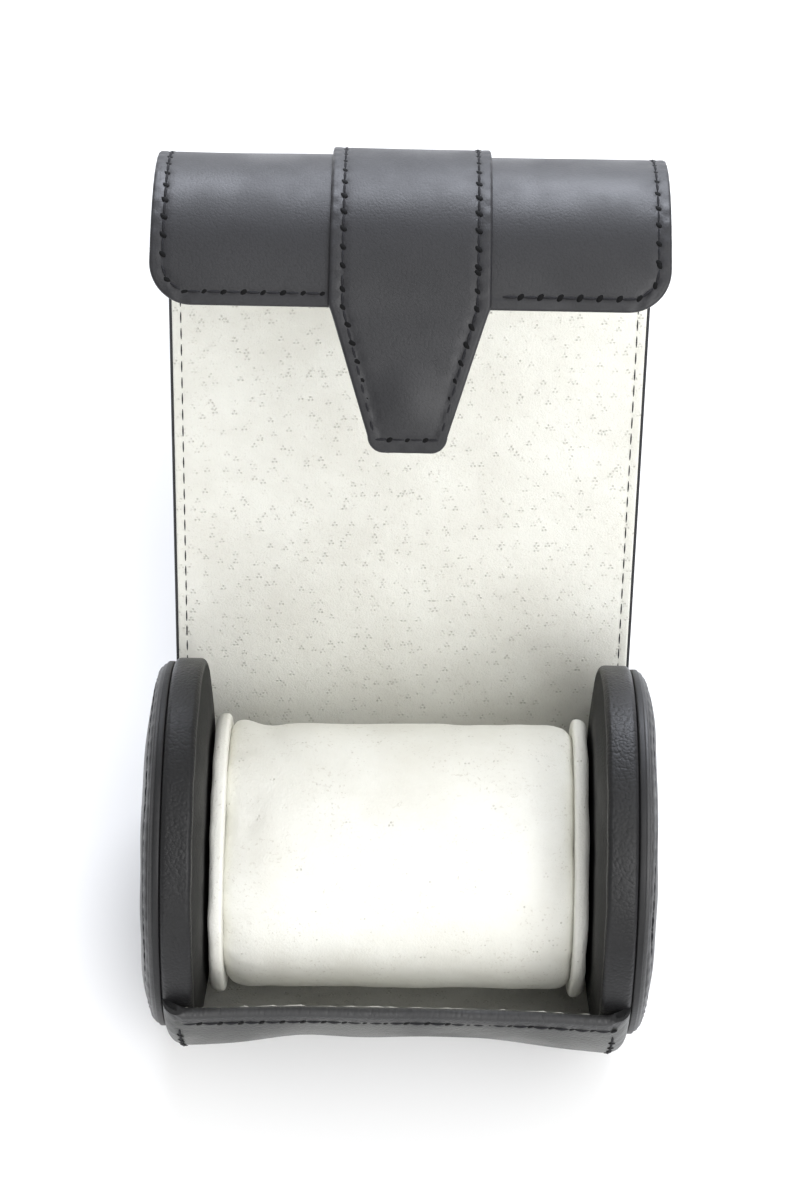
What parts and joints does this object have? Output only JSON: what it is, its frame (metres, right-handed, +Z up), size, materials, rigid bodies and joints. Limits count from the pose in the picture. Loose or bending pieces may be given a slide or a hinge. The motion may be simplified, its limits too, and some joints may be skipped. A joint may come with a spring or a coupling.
{
  "type": "watch travel case",
  "caption": "Round-bodied travel case for one wristwatch: stiffened leather wall with padded ends, roll-over leather lid with strap and magnetic tongue, and a lift-out suede watch cushion.",
  "frame": {"origin": "middle of the flat base the case stands on", "axes": "+X along the case from its left end to its right end as seen from the front, +Y to the back where the lid leaves the wall, +Z up"},
  "size_m": [0.1042, 0.1529, 0.1416],
  "materials": {
    "smooth_leather": "smooth, softly grained, matt",
    "pebbled_leather": "pebbled, low sheen",
    "panel_leather": "smooth over a padded face, stitched round its rim",
    "stiff_board": "plain board",
    "fibreboard": "plain fibreboard",
    "lining_suede": "suede with fine pores",
    "cushion_suede": "suede, soft nap",
    "foam": "foam block",
    "magnet_steel": "plated"
  },
  "bodies": {
    "case_body": {"body_leather": "smooth_leather", "body_board": "stiff_board", "body_lining": "lining_suede", "left_end_core": "fibreboard", "left_end_cover": "pebbled_leather", "left_panel_board": "stiff_board", "left_panel_cover": "panel_leather", "right_end_core": "fibreboard", "right_end_cover": "pebbled_leather", "right_panel_board": "stiff_board", "right_panel_cover": "panel_leather", "wall_magnet": "magnet_steel"},
    "lid_1": {"lid_leather_1": "smooth_leather", "lid_lining_1": "lining_suede"},
    "lid_2": {"lid_leather_2": "smooth_leather", "lid_lining_2": "lining_suede"},
    "lid_3": {"lid_leather_3": "smooth_leather", "lid_lining_3": "lining_suede", "strap_3": "smooth_leather"},
    "lid_4": {"lid_leather_4": "smooth_leather", "lid_lining_4": "lining_suede", "strap_4": "smooth_leather"},
    "lid_5": {"lid_leather_5": "smooth_leather", "lid_lining_5": "lining_suede", "strap_5": "smooth_leather"},
    "lid_6": {"lid_leather_6": "smooth_leather", "lid_lining_6": "lining_suede", "strap_6": "smooth_leather"},
    "lid_7": {"lid_leather_7": "smooth_leather", "lid_lining_7": "lining_suede", "strap_7": "smooth_leather"},
    "lid_8": {"lid_leather_8": "smooth_leather", "lid_lining_8": "lining_suede", "strap_8": "smooth_leather"},
    "flap": {"flap_leather": "smooth_leather", "flap_lining": "lining_suede", "strap_9": "smooth_leather"},
    "tongue": {"tongue_leather": "smooth_leather", "tongue_backing": "smooth_leather", "tongue_magnet": "magnet_steel"},
    "cushion": {"cushion_core": "foam", "cushion_cover": "cushion_suede", "left_cushion_disc": "cushion_suede", "right_cushion_disc": "cushion_suede"}
  },
  "joints": [
    {"name": "lid_hinge", "type": "hinge", "parent": "case_body", "child": "lid_1", "pos_m": [0, 0.03132, 0.01048], "axis": [1, 0, 0], "range_deg": [-2.41, 9.45]},
    {"name": "lid_roll", "type": "hinge", "parent": "lid_1", "child": "lid_2", "pos_m": [0, 0.04616, 0.02947], "axis": [1, 0, 0], "range_deg": [-9, 35.8]},
    {"name": "lid_bend_3", "type": "hinge", "parent": "lid_2", "child": "lid_3", "pos_m": [0, 0.061, 0.04846], "axis": [1, 0, 0], "range_deg": [-8.17, 32.35]},
    {"name": "lid_bend_4", "type": "hinge", "parent": "lid_3", "child": "lid_4", "pos_m": [0, 0.07584, 0.06746], "axis": [1, 0, 0], "range_deg": [-8.17, 32.35]},
    {"name": "lid_bend_5", "type": "hinge", "parent": "lid_4", "child": "lid_5", "pos_m": [0, 0.09067, 0.08645], "axis": [1, 0, 0], "range_deg": [-8.17, 32.35]},
    {"name": "curl_bend_6", "type": "hinge", "parent": "lid_5", "child": "lid_6", "pos_m": [0, 0.10551, 0.10544], "axis": [1, 0, 0], "range_deg": [-4.05, 1.06]},
    {"name": "curl_bend_7", "type": "hinge", "parent": "lid_6", "child": "lid_7", "pos_m": [0, 0.10968, 0.11929], "axis": [1, 0, 0], "range_deg": [-22.05, 5.58]},
    {"name": "curl_bend_8", "type": "hinge", "parent": "lid_7", "child": "lid_8", "pos_m": [0, 0.1034, 0.13231], "axis": [1, 0, 0], "range_deg": [-19.55, 4.95]},
    {"name": "flap_bend", "type": "hinge", "parent": "lid_8", "child": "flap", "pos_m": [0, 0.08249, 0.13911], "axis": [1, 0, 0], "range_deg": [-5.55, 1.43]},
    {"name": "tongue_flex", "type": "hinge", "parent": "flap", "child": "tongue", "pos_m": [0, 0.07042, 0.13565], "axis": [1, 0, 0], "range_deg": [-25, 12.5]},
    {"name": "cushion_lift", "type": "slide", "parent": "case_body", "child": "cushion", "axis": [0, 0, 1], "range_m": [0, 0.02]}
  ],
  "couplings": [
    {"joint": "lid_hinge", "follows": "lid_roll", "ratio": 0.2626},
    {"joint": "lid_bend_3", "follows": "lid_roll", "ratio": 0.9022},
    {"joint": "lid_bend_4", "follows": "lid_roll", "ratio": 0.9022},
    {"joint": "lid_bend_5", "follows": "lid_roll", "ratio": 0.9022},
    {"joint": "curl_bend_6", "follows": "lid_roll", "ratio": -0.1117},
    {"joint": "curl_bend_7", "follows": "lid_roll", "ratio": -0.6145},
    {"joint": "curl_bend_8", "follows": "lid_roll", "ratio": -0.5447},
    {"joint": "flap_bend", "follows": "lid_roll", "ratio": -0.1536}
  ]
}
